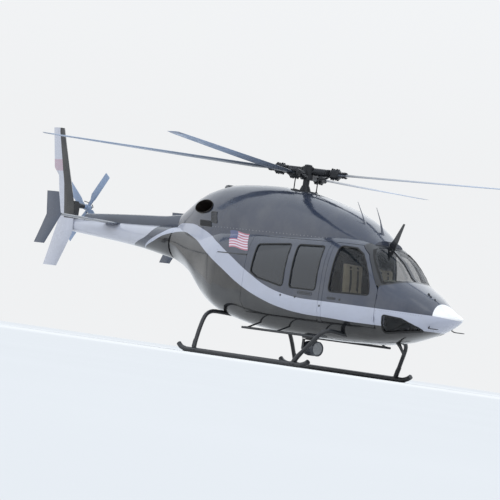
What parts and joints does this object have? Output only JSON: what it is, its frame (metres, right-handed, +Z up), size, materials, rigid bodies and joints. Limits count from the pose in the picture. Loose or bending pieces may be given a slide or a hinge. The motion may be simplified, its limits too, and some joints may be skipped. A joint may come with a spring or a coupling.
{
  "type": "police helicopter",
  "caption": "Light twin-engined police helicopter on skid gear, with sliding cabin doors, hinged crew doors, a twin-fin tail and a searchlight.",
  "frame": {"origin": "centre of the footprint of the whole outline, rotor blades included, on the ground plane that the skids stand on", "axes": "+X towards the nose, +Y to the helicopter's left, +Z up"},
  "size_m": [12.4952, 10.1704, 3.98],
  "materials": {
    "slate_paint": "gloss",
    "dark_paint": "gloss",
    "white_paint": "gloss",
    "light_grey_paint": "gloss",
    "black_metal": "satin",
    "rotor_grey": "satin",
    "cast_aluminium": "matte",
    "burnt_steel": "matte",
    "clear_glass": "clear",
    "dark_glass": "tinted",
    "panel_plastic": "matte",
    "seat_cloth": "matte"
  },
  "bodies": {
    "airframe": {"aft_fuselage": "slate_paint", "beacon": "black_metal", "cabin_bench_front": "seat_cloth", "cabin_bench_rear": "seat_cloth", "cabin_roof": "slate_paint", "cabin_window_front_left": "dark_glass", "cabin_window_front_right": "dark_glass", "cabin_window_rear_left": "dark_glass", "cabin_window_rear_right": "dark_glass", "chin_window_left": "clear_glass", "chin_window_right": "clear_glass", "crew_seat_left": "seat_cloth", "crew_seat_right": "seat_cloth", "cross_tube_front": "black_metal", "cross_tube_rear": "black_metal", "driveshaft_cover": "slate_paint", "engine_cowling": "slate_paint", "engine_left": "cast_aluminium", "engine_right": "cast_aluminium", "exhaust_left": "burnt_steel", "exhaust_right": "burnt_steel", "finlet_left": "dark_paint", "finlet_right": "dark_paint", "front_fairing": "slate_paint", "instrument_panel": "panel_plastic", "light_mount": "black_metal", "lower_hull": "dark_paint", "main_gearbox": "cast_aluminium", "mast_cowling": "slate_paint", "nose_cone": "white_paint", "nose_shell": "slate_paint", "side_frame_left": "slate_paint", "side_frame_right": "slate_paint", "skid_left": "black_metal", "skid_right": "black_metal", "sliding_door_left": "slate_paint", "sliding_door_right": "slate_paint", "stabiliser": "dark_paint", "step_left": "black_metal", "step_right": "black_metal", "tail_boom": "light_grey_paint", "tail_gearbox": "black_metal", "vertical_fin": "light_grey_paint", "windshield_frame": "dark_paint", "windshield_left": "clear_glass", "windshield_right": "clear_glass"},
    "main_rotor": {"rotor_mast": "black_metal", "rotor_hub": "black_metal", "main_blade_1": "rotor_grey", "main_blade_2": "rotor_grey", "main_blade_3": "rotor_grey", "main_blade_4": "rotor_grey"},
    "tail_rotor": {"tail_rotor_inner": "rotor_grey", "tail_rotor_outer": "rotor_grey"},
    "crew_door_right": {"crew_door_right": "slate_paint", "crew_window_right": "clear_glass"},
    "crew_door_left": {"crew_door_left": "slate_paint", "crew_window_left": "clear_glass"},
    "light_yoke": {"light_yoke": "black_metal"},
    "searchlight": {"searchlight": "light_grey_paint"}
  },
  "joints": [
    {"name": "main_rotor_spin", "type": "hinge", "parent": "airframe", "child": "main_rotor", "pos_m": [1.1624, 0, 3.49], "axis": [0, 0, 1], "continuous": true},
    {"name": "tail_rotor_spin", "type": "hinge", "parent": "airframe", "child": "tail_rotor", "pos_m": [-5.4976, 0.35, 2.51], "axis": [0, 1, 0], "continuous": true},
    {"name": "crew_door_right_hinge", "type": "hinge", "parent": "airframe", "child": "crew_door_right", "pos_m": [4.1144, -0.66972, 1.2], "axis": [0, 0, 1], "range_deg": [0, 75]},
    {"name": "crew_door_left_hinge", "type": "hinge", "parent": "airframe", "child": "crew_door_left", "pos_m": [4.1144, 0.66972, 1.2], "axis": [0, 0, -1], "range_deg": [0, 75]},
    {"name": "light_pan", "type": "hinge", "parent": "airframe", "child": "light_yoke", "pos_m": [1.8624, 0, 0.517], "axis": [0, 0, 1], "range_deg": [-160, 160]},
    {"name": "light_tilt", "type": "hinge", "parent": "light_yoke", "child": "searchlight", "pos_m": [1.8624, 0, 0.375], "axis": [0, 1, 0], "range_deg": [-5, 85]}
  ]
}
